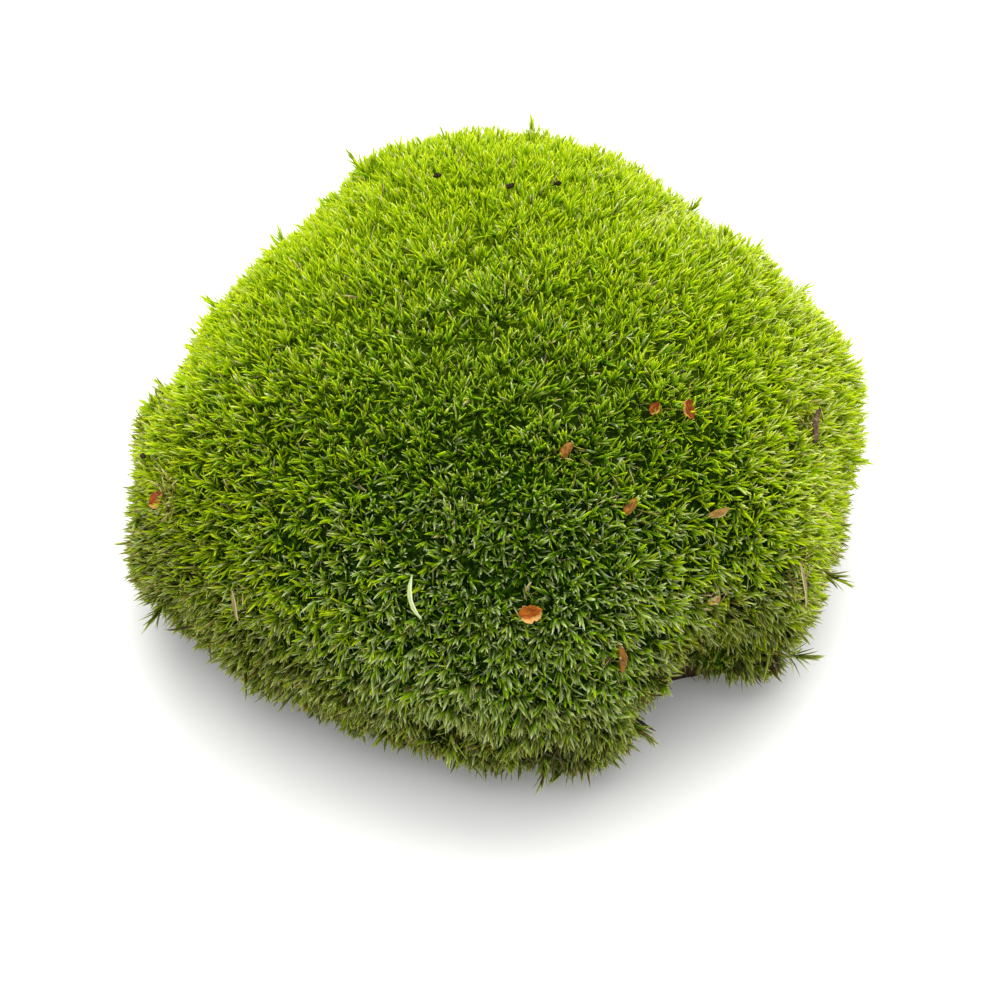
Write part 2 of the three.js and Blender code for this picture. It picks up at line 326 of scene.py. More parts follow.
class Nodes:
    """A short way to write a node material around one Principled shader."""

    def __init__(self, name):
        self.material = bpy.data.materials.new(name)
        self.material.use_nodes = True
        self.tree = self.material.node_tree
        self.shader = self.tree.nodes["Principled BSDF"]

    def add(self, kind, **settings):
        node = self.tree.nodes.new(kind)
        for key, value in settings.items():
            setattr(node, key, value)
        return node

    def link(self, source, target):
        self.tree.links.new(source, target)

    def put(self, value, socket):
        if isinstance(value, bpy.types.NodeSocket):
            self.link(value, socket)
        else:
            socket.default_value = value

    def math(self, operation, a, b=0.0):
        node = self.add("ShaderNodeMath", operation=operation)
        self.put(a, node.inputs[0])
        self.put(b, node.inputs[1])
        return node.outputs[0]

    def between(self, value, low, high, to_low=0.0, to_high=1.0):
        node = self.add("ShaderNodeMapRange", interpolation_type="SMOOTHSTEP")
        for place, x in enumerate((value, low, high, to_low, to_high)):
            self.put(x, node.inputs[place])
        return node.outputs[0]

    def blend(self, factor, a, b, kind="MIX"):
        node = self.add("ShaderNodeMix", data_type="RGBA", blend_type=kind)
        self.put(factor, node.inputs["Factor"])
        self.put(a, node.inputs["A"])
        self.put(b, node.inputs["B"])
        return node.outputs["Result"]

    def steps(self, factor, colors):
        """A ramp of flat steps, one colour after the other."""
        node = self.add("ShaderNodeValToRGB")
        node.color_ramp.interpolation = "CONSTANT"
        stops = node.color_ramp.elements
        while len(stops) < len(colors):
            stops.new(1.0)
        for i, color in enumerate(colors):
            stops[i].position = i / len(colors)
            stops[i].color = (*color, 1)
        self.put(factor, node.inputs[0])
        return node.outputs[0]

    def noise(self, scale, detail=3.0, rough=0.5, place=None):
        """A noise over the place given, or over the part in metres."""
        node = self.add("ShaderNodeTexNoise")
        place = place or self.add("ShaderNodeTexCoord").outputs["Object"]
        self.link(place, node.inputs["Vector"])
        node.inputs["Scale"].default_value = scale
        node.inputs["Detail"].default_value = detail
        node.inputs["Roughness"].default_value = rough
        return node.outputs[0]

    def bump(self, height, strength, distance):
        node = self.add("ShaderNodeBump")
        self.link(height, node.inputs["Height"])
        node.inputs["Strength"].default_value = strength
        node.inputs["Distance"].default_value = distance
        self.link(node.outputs[0], self.shader.inputs["Normal"])


# Linear colours of a leaf's base, blade and tip, by family. The darker bases are painted shade deep among
# the shoots.
LEAF_COLORS = [
    ((0.280, 0.450, 0.002), (0.330, 0.510, 0.002), (0.350, 0.520, 0.004)),  # lime
    ((0.160, 0.320, 0.001), (0.200, 0.390, 0.001), (0.240, 0.430, 0.003)),  # bright green
    ((0.014, 0.058, 0.001), (0.068, 0.200, 0.002), (0.160, 0.340, 0.014)),  # mid green
    ((0.012, 0.036, 0.002), (0.150, 0.260, 0.022), (0.480, 0.600, 0.270)),  # green with pale tips: partly the leaf's own colour, partly painted highlight
    ((0.016, 0.019, 0.002), (0.120, 0.138, 0.014), (0.270, 0.290, 0.100)),  # olive
    ((0.007, 0.009, 0.002), (0.050, 0.060, 0.007), (0.150, 0.160, 0.045)),  # dark olive
    ((0.150, 0.230, 0.008), (0.380, 0.500, 0.030), (0.580, 0.680, 0.160)),  # pale yellow-green: painted light at the sunny right back, and painted highlight on whole blades
    ((0.060, 0.040, 0.012), (0.260, 0.170, 0.060), (0.460, 0.340, 0.150)),  # dead, dry
    ((0.012, 0.008, 0.004), (0.045, 0.027, 0.012), (0.120, 0.078, 0.034)),  # dead, rotted
]
LIME, BRIGHT, GREEN, PALE_TIPPED, OLIVE, DARK, YELLOW, DEAD, ROTTED = range(FAMILIES)


def leaf_material():
    """Leaf colour from its UV alone: u says the family, the level and the place across, and v is along."""
    m = Nodes("leaf")
    uv = m.add("ShaderNodeUVMap", uv_map="OFBake")
    split = m.add("ShaderNodeSeparateXYZ")
    m.link(uv.outputs[0], split.inputs[0])
    column = m.math("MULTIPLY", split.outputs[0], FAMILIES * LEVELS)
    level = m.math("MODULO", m.math("FLOOR", column), LEVELS)
    across = m.math("ABSOLUTE", m.math("SUBTRACT", m.math("FRACT", column), 0.5))
    along = split.outputs[1]
    base, blade, tip = (m.steps(split.outputs[0], [c[i] for c in LEAF_COLORS]) for i in range(3))
    color = m.blend(m.between(along, 0.4, 1.0, 0.0, 0.85), blade, tip)
    # Painted shade: the lower part of each leaf darkens towards its base colour.
    color = m.blend(m.between(along, 0.05, 0.5, 0.85, 0.0), color, base)
    color = m.blend(m.between(across, 0.0, 0.2, 0.22, 0.0), color, tip)
    shade = m.between(level, 0, LEVELS - 1, 0.36, 1.16)
    gray = m.add("ShaderNodeCombineXYZ")
    for socket in gray.inputs:
        m.link(shade, socket)
    color = m.blend(1.0, color, gray.outputs[0], "MULTIPLY")
    m.link(color, m.shader.inputs["Base Color"])
    m.link(m.between(along, 0.3, 1.0, 0.68, 0.5), m.shader.inputs["Roughness"])
    m.shader.inputs["Specular IOR Level"].default_value = 0.08
    m.shader.inputs["Subsurface Weight"].default_value = 0.55
    m.shader.inputs["Subsurface Radius"].default_value = (0.7, 1.0, 0.15)
    m.shader.inputs["Subsurface Scale"].default_value = 0.6 * MM
    return m.material


def earthy_material(name, dark, middle, pale, scale):
    """Matt brown felt: three browns in patches, with a grain on them."""
    m = Nodes(name)
    patches = m.noise(scale, 5.0, 0.65)
    grain = m.noise(scale * 6, 3.0, 0.6)
    color = m.blend(m.between(patches, 0.35, 0.6), (*dark, 1), (*middle, 1))
    color = m.blend(m.between(grain, 0.52, 0.75, 0.0, 0.8), color, (*pale, 1))
    m.link(color, m.shader.inputs["Base Color"])
    m.shader.inputs["Roughness"].default_value = 0.92
    m.shader.inputs["Specular IOR Level"].default_value = 0.15
    m.bump(grain, 0.8, 0.4 * MM)
    return m.material


def depths_material():
    """The shaded stems between the shoots: nearly black in front, and green where light comes through."""
    m = Nodes("shaded_stems")
    split = m.add("ShaderNodeSeparateXYZ")
    m.link(m.add("ShaderNodeTexCoord").outputs["Object"], split.inputs[0])
    patches = m.between(m.noise(1300, 4.0, 0.7), 0.38, 0.62)
    back = m.between(split.outputs[1], -0.3 * clump_size[1], 0.35 * clump_size[1])
    dark = m.blend(patches, (0.005, 0.018, 0.001, 1), (0.045, 0.125, 0.002, 1))
    light = m.blend(patches, (0.19, 0.34, 0.001, 1), (0.36, 0.56, 0.002, 1))
    m.link(m.blend(back, dark, light), m.shader.inputs["Base Color"])
    m.shader.inputs["Roughness"].default_value = 0.95
    m.shader.inputs["Specular IOR Level"].default_value = 0.05
    m.bump(patches, 1.0, 0.5 * MM)
    return m.material


def dry_material(name, deep, body, pale, gloss=0.6):
    """A dry scale, husk or straw: fine lines along it, blotches over them, and one worn pale edge."""
    m = Nodes(name)
    uv = m.add("ShaderNodeUVMap", uv_map="grain")
    stretch = m.add("ShaderNodeVectorMath", operation="MULTIPLY")
    m.link(uv.outputs[0], stretch.inputs[0])
    stretch.inputs[1].default_value = (3.0, 26.0, 1.0)
    lines = m.noise(1.0, 4.0, 0.6, stretch.outputs[0])
    blotches = m.noise(900, 4.0, 0.6)
    split = m.add("ShaderNodeSeparateXYZ")
    m.link(uv.outputs[0], split.inputs[0])
    color = m.blend(m.between(lines, 0.38, 0.62), (*deep, 1), (*body, 1))
    color = m.blend(m.between(blotches, 0.5, 0.7, 0.0, 0.75), color, (*deep, 1))
    color = m.blend(m.between(split.outputs[1], 0.12, 0.3, 0.85, 0.0), color, (*pale, 1))
    m.link(color, m.shader.inputs["Base Color"])
    m.shader.inputs["Roughness"].default_value = gloss
    m.shader.inputs["Specular IOR Level"].default_value = 0.12
    m.bump(lines, 0.5, 0.1 * MM)
    return m.material


leaf = leaf_material()
depths = depths_material()
felt = earthy_material("stem_felt", (0.012, 0.008, 0.004), (0.045, 0.026, 0.012), (0.13, 0.085, 0.04), 220)
bark = earthy_material("bark", (0.05, 0.028, 0.018), (0.17, 0.10, 0.065), (0.36, 0.27, 0.20), 420)
humus = earthy_material("humus", (0.010, 0.006, 0.004), (0.034, 0.020, 0.012), (0.10, 0.07, 0.045), 900)
orange = (0.24, 0.055, 0.006), (0.56, 0.17, 0.014), (0.74, 0.44, 0.13)
orange_scale = dry_material("orange_scale", *orange, 0.42)
red = (0.14, 0.028, 0.004), (0.40, 0.100, 0.012), (0.50, 0.25, 0.06)
red_scale = dry_material("red_scale", *red, 0.5)
tan_husk = dry_material("tan_husk", (0.20, 0.10, 0.025), (0.42, 0.25, 0.07), (0.62, 0.47, 0.22))
brown_husk = dry_material("brown_husk", (0.13, 0.050, 0.008), (0.38, 0.16, 0.022), (0.52, 0.32, 0.09))
cream = dry_material("cream_leaf", (0.32, 0.38, 0.12), (0.58, 0.66, 0.32), (0.74, 0.80, 0.52))
straw = dry_material("straw", (0.22, 0.15, 0.06), (0.42, 0.33, 0.16), (0.62, 0.54, 0.33))

# ---- the living shoots ----


def scatter(spacing, tries):
    """Places and normals of shoots, no two nearer than about spacing, as dense in one part as another."""
    d = unit(rng.normal(size=(tries, 3)))
    d = d[d[:, 2] > -0.36]
    p = surface.points(d)
    n = surface.normals(d)
    stretch = surface.reach(d) ** 2 / np.maximum((n * d).sum(1), 0.25)
    keep = rng.uniform(0, 1, len(d)) < stretch / stretch.max()
    keep &= p[:, 2] > hem_height + 0.8 * MM
    d, p, n = d[keep], p[keep], n[keep]
    room = spacing * (1 + 0.16 * drift(p, 9 * MM, 1.0))
    cells = {}
    chosen = []
    for i, place in enumerate(p):
        cell = tuple((place // (1.3 * spacing)).astype(int))
        near = [
            j
            for x in (-1, 0, 1)
            for y in (-1, 0, 1)
            for z in (-1, 0, 1)
            for j in cells.get((cell[0] + x, cell[1] + y, cell[2] + z), ())
        ]
        if near and (((p[near] - place) ** 2).sum(1) < room[i] ** 2).any():
            continue
        cells.setdefault(cell, []).append(i)
        chosen.append(i)
    return p[chosen], n[chosen]


def sunniness(p):
    """0 in the deep green middle and in front, and 1 where the light comes through: back, right and left."""
    x = p[:, 0] / (clump_size[0] / 2)
    y = p[:, 1] / (clump_size[1] / 2)
    z = p[:, 2] / clump_size[2]
    patch = drift(p, 26 * MM, 2.0)
    side = np.where(x > 0, 0.75 * x, -0.4 * x)
    back = ramp(y - 0.07 + side + 0.1 * patch, -0.35, 0.35)
    around = ramp(np.hypot(x - 0.05, np.maximum(y + 0.3, 0)), 0.12, 0.6) * ramp(z, 0.35, 0.6)
    return np.maximum(back, 0.68 * around)


def shade_at_foot(p, patch):
    """1 at the shaded hem and in the dent between the two front lobes, and 0 well above them."""
    z = p[:, 2] / clump_size[2] + 0.03 * patch
    dent = ramp(-np.hypot(p[:, 0] - DENT[0], p[:, 1] - DENT[1]), -17 * MM, -8 * MM)
    left = ramp(-p[:, 0] / clump_size[0], 0.1, 0.4)
    return np.maximum(1 - ramp(z, 0.16, 0.47 + 0.17 * left), dent * (1 - ramp(z, 0.3, 0.6)))


def family_chances(p):
    """How often each leaf colour comes up on a shoot at p, with painted light and shade in it. The sunny
    back, sides and backlit rim are limes and bright greens, the middle is deep green, the front has pale
    tips, and the shaded hem is olive and dead."""
    x = p[:, 0] / (clump_size[0] / 2)
    y = p[:, 1] / (clump_size[1] / 2)
    z = p[:, 2] / clump_size[2]
    fine = drift(p, 8 * MM, 5.0)
    low = 1 - ramp(z + 0.06 * fine, 0.2, 0.66)
    hem = shade_at_foot(p, fine)
    sunny = sunniness(p) * (1 - 0.7 * hem)
    shady = 1 - sunny
    rim = ramp(np.hypot(x, y) + 0.08 * fine, 0.55, 0.95)
    left = ramp(-x, 0.3, 0.8)
    right = ramp(x, 0.35, 0.85)
    flank = ramp(-y, 0.45, 0.8) * (1 - 0.6 * left)
    chance = np.full((len(p), FAMILIES), 0.006)
    chance[:, LIME] += 1.3 * sunny * (0.35 + rim)
    chance[:, BRIGHT] += 1.6 * sunny + 0.35 * shady * (1 - low)
    chance[:, GREEN] += 1.9 * shady * (1 - 0.6 * low) + 0.25 * sunny
    # Pale tips on the front flank and the low left: partly painted highlight on glossy tips.
    chance[:, PALE_TIPPED] += 0.14 * shady + 2.1 * flank * (1 - 0.6 * hem) + 0.6 * left * low * shady
    # Olive, dark olive, dead and rotted colours low down, at the shaded hem and on the low left: painted
    # shade.
    chance[:, OLIVE] += 0.7 * low * shady + 1.8 * left * low * shady + 0.9 * hem
    chance[:, DARK] += 3.4 * hem + 0.1 * shady + 0.9 * left * ramp(-y, 0.0, 0.5) * shady
    # Pale yellow-green on the right rim and at the right back is painted light, and the few whole pale
    # blades anywhere are painted highlight.
    chance[:, YELLOW] += 0.05 + 1.6 * right * rim * (1 - 0.7 * low) + 0.3 * sunny * rim + 0.05 * left * shady
    chance[:, YELLOW] += 0.7 * ramp(x, 0.1, 0.7) * ramp(y, -0.2, 0.4) * (1 - hem)
    chance[:, DEAD] += 0.035 + 0.2 * right * rim * (0.4 + low) + 0.3 * hem * hem + 0.3 * (fine > 0.8)
    chance[:, ROTTED] += 0.9 * hem * hem
    return chance


def shoot_axes(p, n, wander):
    """Shoots stand out of the surface, a little away from the clump's foot, lean in locks, and wander."""
    foot = np.array([0.0, 0.0, -0.15 * clump_size[2]])
    lock = np.stack([drift(p, 12 * MM, phase) for phase in (21.0, 22.0, 23.0)], 1)
    return unit(0.7 * n + 0.3 * unit(p - foot) + 0.2 * lock + rng.normal(0, wander, p.shape))


def living_shoots():
    """Every shoot of the cushion, as one piece for each part of it."""
    p, n = scatter(SPACING, 420000)
    axes = shoot_axes(p, n, 0.2)
    z = p[:, 2] / clump_size[2]
    low = 1 - ramp(z, 0.1, 0.6)
    front = 1 - ramp(p[:, 1] / clump_size[1], -0.4, 0.1)
    left = ramp(-p[:, 0] / clump_size[0], 0.1, 0.4)
    hang = low * np.maximum(front, left)
    sunny = sunniness(p)
    length = (3.6 + 2.8 * hang - 0.5 * sunny + 0.3 * rng.normal(0, 1, len(p)).clip(-1.5, 1.5)) * MM
    spread = 0.8 - 0.32 * hang + 0.15 * drift(p, 14 * MM, 4.0) + rng.normal(0, 0.1, len(p))
    rise = (0.55 * drift(p, 7 * MM, 3.0) + rng.normal(0, 0.45, len(p))) * MM
    tips = p + (rise - 0.35 * MM * hang)[:, None] * n
    hem = shade_at_foot(p, drift(p, 8 * MM, 5.0))
    locks = 0.1 * drift(p, 18 * MM, 6.0) + 0.14 * (1 - 0.6 * sunny) * drift(p, 9 * MM, 22.0)
    # Painted light and shade: brighter where the light comes through, darker at the shaded hem, in the dent
    # and on the left front. The locks and the rest are tone that differs at random.
    brightness = 0.8 + 0.1 * sunny - 0.7 * hem - 0.26 * left * front * (1 - hem)
    brightness += locks + rng.normal(0, 0.07, len(p))
    # How far single leaves wander from the shoot's brightness, and how much darker its older, lower leaves
    # are (painted shade): less where the light comes through.
    mottle_and_shade = 0.19 - 0.14 * sunny
    chances = family_chances(p)
    bearing = np.degrees(np.arctan2(p[:, 1], p[:, 0]))
    steep = np.degrees(np.arctan2(p[:, 2] - heart[2], np.hypot(p[:, 0], p[:, 1])))
    crown = steep > 42
    parts = {
        "shoots_crown_front_left": crown & (p[:, 0] < 0) & (p[:, 1] < 0),
        "shoots_crown_front_right": crown & (p[:, 0] >= 0) & (p[:, 1] < 0),
        "shoots_crown_back_left": crown & (p[:, 0] < 0) & (p[:, 1] >= 0),
        "shoots_crown_back_right": crown & (p[:, 0] >= 0) & (p[:, 1] >= 0),
    }
    sectors = 12  # round the clump, counted from +X towards the back
    for i in range(sectors):
        inside = np.abs((bearing - 360 * i / sectors + 180) % 360 - 180) <= 180 / sectors
        parts[f"shoots_side_{i + 1:02d}"] = inside & ~crown
    total = 0
    for name, members in parts.items():
        total += members.sum()
        points, faces, uv = grow(
            tips[members],
            axes[members],
            LEAVES_PER_SHOOT,
            length[members],
            spread[members],
            chances[members],
            brightness[members],
            mottle_and_shade[members],
        )
        finish_piece(build_mesh(name, points, faces, uv), leaf, "living_shoots", "moss_cushion")
    print("living shoots:", total)


living_shoots()


def standing_shoots():
    """The shoots that stand clear of the rest, each along its own CAD solid."""
    for number, node in enumerate(standing_nodes, 1):
        co = np.array([v.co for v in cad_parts[node].data.vertices])
        middle = co.mean(0)
        axis = np.linalg.svd(co - middle)[2][0]
        if axis @ (middle - heart) < 0:
            axis = -axis
        along = (co - middle) @ axis
        tip = middle + axis * along.max()
        place = tip[None]
        points, faces, uv = grow(
            place,
            axis[None],
            16,
            np.array([4.0 * MM]),
            np.array([0.85]),
            family_chances(place),
            np.array([0.75]),
            np.array([0.15]),
        )
        piece = build_mesh(f"standing_leaves_{number:02d}", points, faces, uv)
        finish_piece(piece, leaf, "standing_shoots", node)


standing_shoots()

# ---- what shows between the shoots, and the mat they stand on ----


def ball(name, subdivisions):
    """A fine ball, and its points as unit vectors."""
    bpy.ops.mesh.primitive_ico_sphere_add(subdivisions=subdivisions, radius=1)
    piece = bpy.context.object
    piece.name = name
    co = np.empty(len(piece.data.vertices) * 3)
    piece.data.vertices.foreach_get("co", co)
    return piece, unit(co.reshape(-1, 3))


def reshape(piece, p):
    piece.data.vertices.foreach_set("co", np.ascontiguousarray(p, np.float32).ravel())
    piece.data.polygons.foreach_set("use_smooth", np.full(len(piece.data.polygons), True))
    piece.data.update()


def shaded_stems():
    """A lumpy dome well under the tips, where the shoots' stems crowd together in the dark."""
    piece, d = ball("shaded_stems", 6)
    p = surface.points(d) - d * (3.2 * MM)
    p += d * (0.9 * MM * (0.6 * drift(p, 5 * MM, 7.0) + 0.4 * drift(p, 2.2 * MM, 8.0)))[:, None]
    p[:, 2] = np.maximum(p[:, 2], hem_height + 1 * MM)
    reshape(piece, p)
    finish_piece(piece, depths, "living_shoots", "moss_cushion")


mat_tree = BVHTree.FromObject(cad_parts["dead_stem_mat"], bpy.context.evaluated_depsgraph_get())
mat_middle = Vector((np.array(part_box("dead_stem_mat")[0]) + np.array(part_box("dead_stem_mat")[1])) / 2)


def mat_surface(d):
    """Points of the CAD mat's surface in the directions d from its middle."""
    return np.array([mat_tree.ray_cast(mat_middle + Vector(v) * 0.3, Vector(-v))[0] for v in d])


def stem_mat():
    """The brown mat: felted stems with pits and lumps in its side, worn flat below."""
    piece, d = ball("stem_felt", 6)
    p = mat_surface(d)
    side = ramp(p[:, 2], 0.3 * MM, 2.5 * MM)
    pits = 0.8 * (0.5 + 0.5 * drift(p, 3.4 * MM, 11.0)) + 0.5 * (0.5 + 0.5 * drift(p, 1.3 * MM, 12.0))
    p = p - d * (pits * side * MM)[:, None]
    worn = 0.3 * MM * (0.5 + 0.5 * drift(p, 2.6 * MM, 13.0))
    p[:, 2] = np.where(side < 0.01, worn, np.maximum(p[:, 2], 0))
    reshape(piece, p)
    finish_piece(piece, felt, "dead_stems", "dead_stem_mat")

    # Dead stems and root hairs stick out of its side, under the green hem.
    count = 2600
    turn = rng.uniform(0, 2 * math.pi, count)
    rise = rng.uniform(-0.2, 0.2, count)
    out = unit(np.stack([np.cos(turn), np.sin(turn), rise], 1))
    base = mat_surface(out) - out * 0.5 * MM
    heading = unit(out * [1, 1, 0.6] + rng.normal(0, 0.45, out.shape) - [0, 0, 0.12])
    chances = np.full((count, FAMILIES), 0.0)
    chances[:, [ROTTED, DEAD, DARK]] = (0.62, 0.2, 0.18)
    length = rng.uniform(1.3, 3.6, count) * MM
    strands(base, heading, length, 0.36 * MM, chances, "dead_stems", "dead_stems", "dead_stem_mat")


def strands(base, heading, length, width, chances, name, slot, *nodes):
    """Single dead stems and leaves as one piece: each starts at its base and bends off its heading."""
    count = len(base)
    side, _ = sides(heading)
    pick = rng.uniform(0, 1, (count, 1))
    family = (pick > np.cumsum(chances / chances.sum(1, keepdims=True), axis=1)[:, :-1]).sum(1)
    level = rng.integers(1, LEVELS, count)
    lean = rng.normal(0, 0.1, count)
    curl = rng.normal(0, 0.7, count)
    sweep = rng.normal(0, 0.3, count)
    wide = width * rng.uniform(0.7, 1.4, count)
    points, faces, uv = leaves(base, heading, side, lean, curl, sweep, length, wide, family, level)
    points[:, 2] = np.maximum(points[:, 2], ground_gap)
    finish_piece(build_mesh(name, points, faces, uv), leaf, slot, *nodes)


shaded_stems()
stem_mat()

# ---- litter caught in the tips ----


def lie(node, sink, tilt):
    """Where a CAD piece of litter lies: a function from its own (along, across, out) to the part's frame,
    and its half sizes. It sinks among the leaves and tips up at one end."""
    co = np.array([v.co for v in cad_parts[node].data.vertices])
    middle = co.mean(0)
    axes = np.linalg.svd(co - middle, full_matrices=False)[2]
    out = axes[2] * np.sign(axes[2] @ (middle - heart))
    along = axes[0]
    across = np.cross(out, along)
    local = (co - middle) @ np.stack([along, across, out], 1)
    half = (local.max(0) - local.min(0)) / 2
    lifted = math.cos(tilt) * along + math.sin(tilt) * out
    upright = math.cos(tilt) * out - math.sin(tilt) * along
    basis = np.stack([lifted, across, upright])
    return (lambda p: middle - sink * out + p @ basis), half


def closed_sheet(name, place, thickness, rows, columns):
    """A thin closed sheet. place(u, v) is its middle surface: u is along, 0 to 1, and v across, -1 to 1."""
    u, v = np.meshgrid(np.linspace(0, 1, rows), np.linspace(-1, 1, columns), indexing="ij")
    p = place(u, v)
    normal = unit(np.cross(np.gradient(p, axis=0), np.gradient(p, axis=1)))
    half = (thickness / 2 * (1 - 0.7 * v**2) * (1 - 0.6 * (2 * u - 1) ** 4))[..., None]
    points = np.concatenate([(p + half * normal).reshape(-1, 3), (p - half * normal).reshape(-1, 3)])
    grain = np.stack([u, 0.5 + 0.5 * v], -1).reshape(-1, 2)
    index = np.arange(rows * columns).reshape(rows, columns)
    below = index + rows * columns
    upper = np.stack([index[:-1, :-1], index[1:, :-1], index[1:, 1:], index[:-1, 1:]], -1)
    lower = np.stack([below[:-1, :-1], below[:-1, 1:], below[1:, 1:], below[1:, :-1]], -1)
    quads = [upper.reshape(-1, 4), lower.reshape(-1, 4)]
    rim = np.concatenate([index[0, :], index[1:, -1], index[-1, -2::-1], index[-2:0:-1, 0]])
    after = np.roll(rim, -1)
    quads.append(np.stack([rim, after, after + rows * columns, rim + rows * columns], -1))
    return build_mesh(name, points, np.concatenate(quads), np.concatenate([grain, grain]), "grain")


def ragged(u, phase):
    """A width that wavers along a torn rim, around 1."""
    return 1 + 0.12 * np.sin(9 * u + phase) + 0.07 * np.sin(23 * u + 2 * phase) + 0.03 * np.sin(51 * u)


def bud_scale(node, material, phase, cup=1.0, tilt=0.2, sink=1.9):
    """A cupped, pointed bud scale with fine ribs, its rim turned outwards."""
    put, half = lie(node, sink * MM, tilt)

    def place(u, v):
        width = half[1] * (0.12 + 0.9 * np.sin(math.pi * u**0.8) ** 0.65) * ragged(u, phase)
        x = half[0] * (2 * u - 1) + 0.1 * half[1] * np.sin(5 * v + phase)
        y = v * width
        dish = cup * half[1] * (0.42 * v**2 + 0.3 * (2 * u - 1) ** 2)
        ribs = 0.04 * MM * np.cos(9 * math.pi * v) * np.sin(math.pi * u)
        crumple = 0.1 * MM * np.sin(7 * u + 4 * v + phase) * np.sin(5 * v - 3 * u)
        return put(np.stack([x, y, dish + ribs + crumple], -1))

    finish_piece(closed_sheet(f"{node}_scale", place, 0.22 * MM, 28, 33), material, "bud_scale", node)


def husk(node, material, phase, roll=2.3, tilt=0.25):
    """A dry husk rolled up about its length, open on one side and pointed at both ends."""
    put, half = lie(node, 1.9 * MM, tilt)

    def place(u, v):
        radius = half[1] * (0.1 + 0.75 * np.sin(math.pi * u**0.9) ** 0.7) * ragged(u, phase)
        angle = roll * v * (0.75 + 0.25 * np.sin(3 * u + phase))
        x = half[0] * (2 * u - 1)
        y = radius * np.sin(angle) + 0.12 * half[0] * np.sin(2.6 * u + phase)
        z = 0.8 * radius * np.cos(angle) + 0.05 * half[0] * np.sin(6 * u + phase)
        return put(np.stack([x, y, z], -1))

    finish_piece(closed_sheet(f"{node}_shell", place, 0.16 * MM, 30, 25), material, "husk", node)


def dry_leaf(node, material, bend, fold, wide, phase, sink, tilt=0.1):
    """A long dry leaf or straw: bent sideways, folded along its middle and drawn out to a point."""
    put, half = lie(node, sink, tilt)

    def place(u, v):
        width = wide * half[0] * (0.06 + np.sin(math.pi * (0.06 + 0.9 * u)) ** 0.8) * ragged(u, phase)
        arc = bend * half[0] * (1 - (2 * u - 1) ** 2)
        x = half[0] * 1.05 * (2 * u - 1)
        y = v * width + arc - bend * half[0] * 0.5
        z = fold * width * np.abs(v) + 0.3 * MM * np.sin(4 * u + phase)
        return put(np.stack([x, y, z], -1))

    finish_piece(closed_sheet(f"{node}_blade", place, 0.2 * MM, 40, 11), material, "dry_leaf", node)


def twig(node):
    """A short bent twig with a knot, rough bark and broken ends."""
    put, half = lie(node, 0.9 * MM, 0.1)
    rings = 46
    turns = 22
    around = np.linspace(0, 2 * math.pi, turns, endpoint=False)
    u, a = np.meshgrid(np.linspace(0, 1, rings), around, indexing="ij")
    knot = np.exp(-(((u - 0.62) / 0.06) ** 2))
    bark_relief = 0.1 * np.sin(4 * a + 9 * u) + 0.07 * np.sin(7 * a - 31 * u) + 0.05 * np.sin(57 * u + 2 * a)
    ends = np.clip(14 * np.minimum(u, 1 - u), 0.25, 1) ** 0.5
    radius = 0.42 * MM * (1.1 - 0.3 * u + 0.45 * knot + bark_relief) * ends
    x = half[0] * (2 * u - 1) + 0.15 * MM * np.sin(a) * (np.abs(u - 0.5) > 0.45)
    y = radius * np.cos(a) + 0.12 * half[0] * np.sin(3 * u)
    z = radius * np.sin(a) + 0.05 * half[0] * np.sin(7 * u)
    points = put(np.stack([x, y, z], -1)).reshape(-1, 3)
    index = np.arange(rings * turns).reshape(rings, turns)
    after = np.roll(index, -1, axis=1)
    quads = np.stack([index[:-1], index[1:], after[1:], after[:-1]], -1).reshape(-1, 4)
    caps = []
    for ring in (index[0], index[-1]):
        # Four-cornered faces close each end: strips across it, from one side of the ring to the other.
        for k in range(turns // 2 - 1):
            caps.append((ring[k], ring[k + 1], ring[turns - 2 - k], ring[turns - 1 - k]))
    quads = np.concatenate([quads, np.array(caps)])
    grain = np.stack([u, a / (2 * math.pi)], -1).reshape(-1, 2)
    finish_piece(build_mesh("twig_bark", points, quads, grain, "grain"), bark, "twig", node)


def crumb(node, phase):
    """A crumb of bark or soil: an angular lump with pits."""
    put, half = lie(node, 1.2 * MM, 0.0)
    piece, d = ball(f"{node}_lump", 5)
    flat = unit(np.round(d * 2.2 + 0.3 * np.sin(phase)) + 0.45 * d)
    reach = 0.85 + 0.3 * (d * flat).sum(1) ** 3 - 0.3
    reach += 0.16 * drift(d, 1.3, phase) + 0.08 * drift(d, 0.45, phase + 1)
    reshape(piece, put(d * reach[:, None] * half * [1.1, 0.9, 1.0]))
    finish_piece(piece, humus, "crumb", node)


def all_litter():
    bud_scale("bud_scale_front", orange_scale, 0.4, cup=1.4, tilt=0.3, sink=1.9)
    bud_scale("bud_scale_right", red_scale, 1.9, cup=0.9, tilt=-0.25)
    bud_scale("bud_scale_right_small", red_scale, 3.1, cup=0.7, tilt=0.3)
    bud_scale("bud_scale_left", red_scale, 4.6, cup=1.0, tilt=-0.2, sink=1.7)
    husk("husk_top", brown_husk, 0.2)
    husk("husk_middle", brown_husk, 1.4, roll=2.0)
    husk("husk_right", tan_husk, 2.6, roll=1.7)
    husk("husk_front", brown_husk, 3.9, roll=2.2, tilt=-0.2)
    husk("husk_low_right", tan_husk, 5.2, roll=1.9)
    dry_leaf("curled_leaf", cream, 0.30, 0.5, 0.11, 0.7, 0.2 * MM, -0.12)
    dry_leaf("straw_left", straw, 0.12, 0.7, 0.13, 2.2, 1.1 * MM)
    dry_leaf("straw_right", straw, 0.16, 0.6, 0.09, 3.7, 1.1 * MM)
    twig("twig_right")
    for i, node in enumerate(("crumb_left", "crumb_back_left", "crumb_back", "crumb_back_right")):
        crumb(node, 1.7 * i)


all_litter()


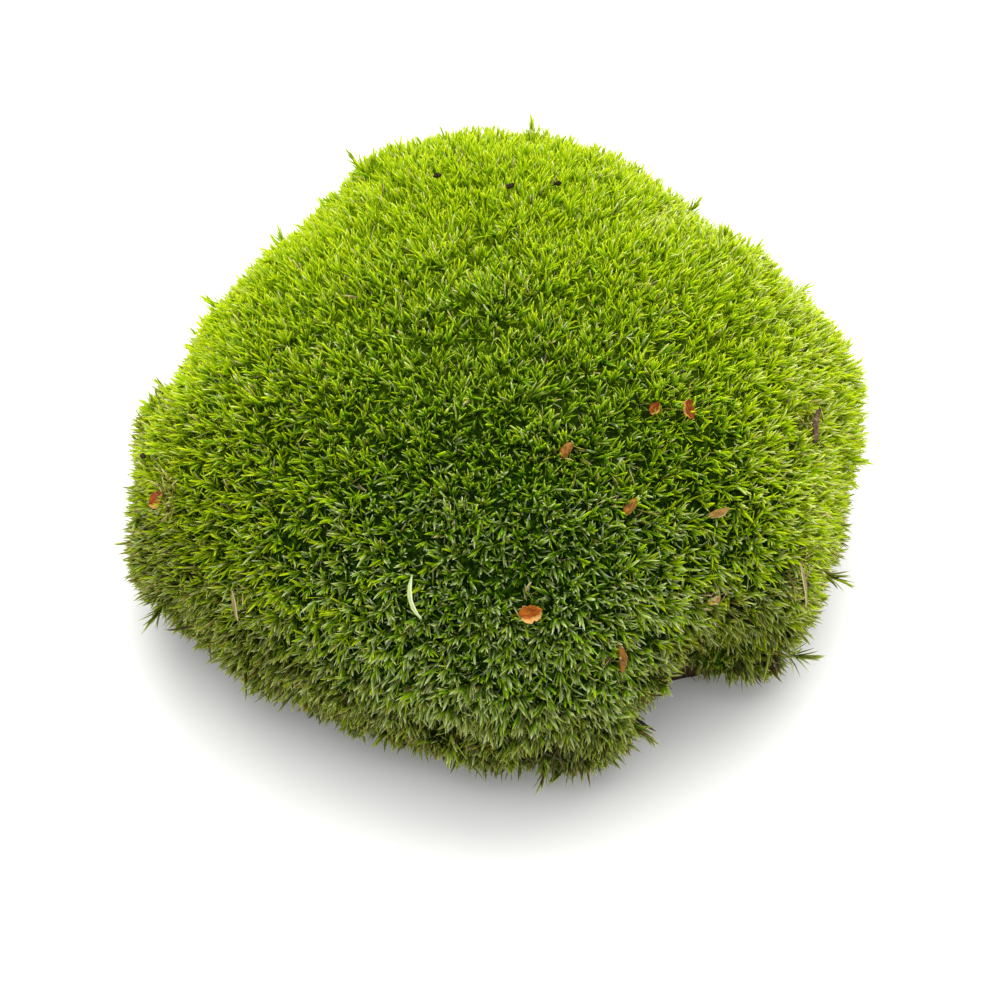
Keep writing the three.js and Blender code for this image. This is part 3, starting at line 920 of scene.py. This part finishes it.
def dead_bits():
    """Dry single leaves and bits of stem about the litter: a tangle on the left, and a few elsewhere."""
    lots = {
        "bud_scale_left": 60,
        "twig_right": 34,
        "straw_right": 30,
        "husk_low_right": 12,
        "husk_middle": 12,
        "bud_scale_right": 8,
        "husk_top": 7,
        "bud_scale_front": 8,
        "straw_left": 12,
        "husk_front": 10,
    }
    for node, count in lots.items():
        low, high = (np.array(corner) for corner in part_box(node))
        middle = (low + high) / 2
        out = unit(middle - heart)
        u, v = sides(out[None])
        reach = rng.normal(0, 1.5 * MM, (count, 2))
        near = unit(middle + reach[:, :1] * u + reach[:, 1:] * v - heart)
        base = surface.points(near) - near * rng.uniform(0.4 * MM, 1.6 * MM, (count, 1))
        turn = rng.uniform(0, 2 * math.pi, (count, 1))
        heading = unit(np.cos(turn) * u + np.sin(turn) * v + out * rng.uniform(0.0, 0.6, (count, 1)))
        chances = np.zeros((count, FAMILIES))
        chances[:, [DEAD, ROTTED, OLIVE]] = (0.66, 0.22, 0.12)
        length = rng.uniform(1.6, 4.0, count) * MM
        strands(base, heading, length, 0.34 * MM, chances, f"{node}_bits", "dry_leaf")


dead_bits()

# ---- stage, light and camera ----


def stage():
    bpy.ops.mesh.primitive_plane_add(size=6)
    floor = bpy.context.object
    floor.name = "floor"
    m = Nodes("floor")
    m.shader.inputs["Base Color"].default_value = (0.86, 0.86, 0.85, 1)
    m.shader.inputs["Roughness"].default_value = 0.8
    floor.data.materials.append(m.material)
    world = bpy.data.worlds.new("studio")
    world.use_nodes = True
    world.node_tree.nodes["Background"].inputs["Color"].default_value = (1.0, 1.0, 1.0, 1)
    world.node_tree.nodes["Background"].inputs["Strength"].default_value = 0.98
    bpy.context.scene.world = world


def area_light(name, place, size, power, color):
    """A square soft light at place that faces the clump."""
    data = bpy.data.lights.new(name, "AREA")
    data.size = size
    data.energy = power
    data.color = color
    light = bpy.data.objects.new(name, data)
    bpy.context.scene.collection.objects.link(light)
    light.location = place
    light.rotation_euler = (-Vector(place)).to_track_quat("-Z", "Y").to_euler()


def lights():
    area_light("sky_behind", (0.1, 0.65, 0.7), 1.3, 12, (1.0, 0.99, 0.93))
    area_light("overhead", (0.0, 0.15, 1.0), 1.0, 6, (1.0, 1.0, 0.98))


def camera():
    """The camera looks down on the clump from the front, a little below its middle."""
    tilt = math.radians(52)
    distance = 0.320
    target = Vector((0.0005, -0.0076, 0.014))
    data = bpy.data.cameras.new("camera")
    data.lens = 72
    data.sensor_width = 36
    data.dof.use_dof = False
    view = bpy.data.objects.new("camera", data)
    bpy.context.scene.collection.objects.link(view)
    back = Vector((0, -math.cos(tilt), math.sin(tilt)))
    view.location = target + back * distance
    view.rotation_euler = (-back).to_track_quat("-Z", "Y").to_euler()
    bpy.context.scene.camera = view


stage()
lights()
camera()
bpy.context.scene.view_settings.view_transform = "Standard"
